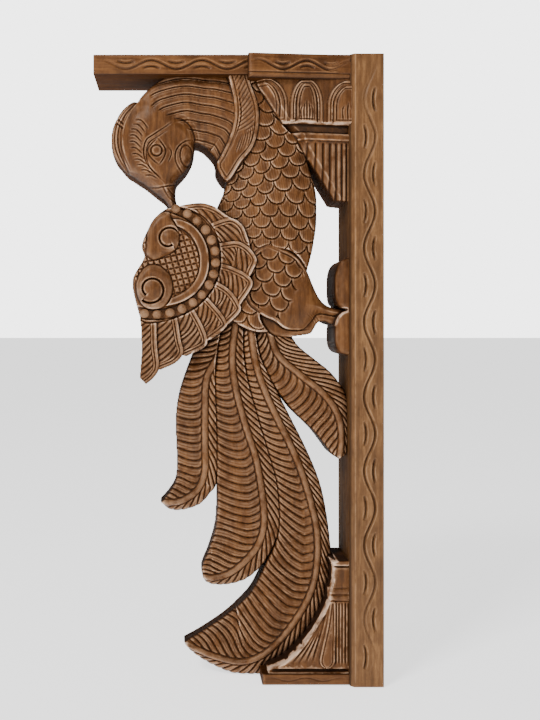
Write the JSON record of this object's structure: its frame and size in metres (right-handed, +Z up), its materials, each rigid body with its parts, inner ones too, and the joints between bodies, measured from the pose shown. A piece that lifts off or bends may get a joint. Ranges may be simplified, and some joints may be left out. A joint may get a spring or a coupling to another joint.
{
  "type": "carved wooden corbel",
  "caption": "Upright wall bracket pierced and carved as a peacock with a drooping tail, under a short beam with a lotus console.",
  "frame": {"origin": "the middle of the post's flat outer face, which lies on the wall: mid height and mid depth", "axes": "+X into the wall, +Z up along the post, -Y towards the carved front"},
  "size_m": [0.28, 0.081, 0.61],
  "materials": {
    "stained_wood": "satin brown stain, darker in the cuts"
  },
  "bodies": {
    "root": {"peacock_corbel": "stained_wood"}
  },
  "joints": []
}
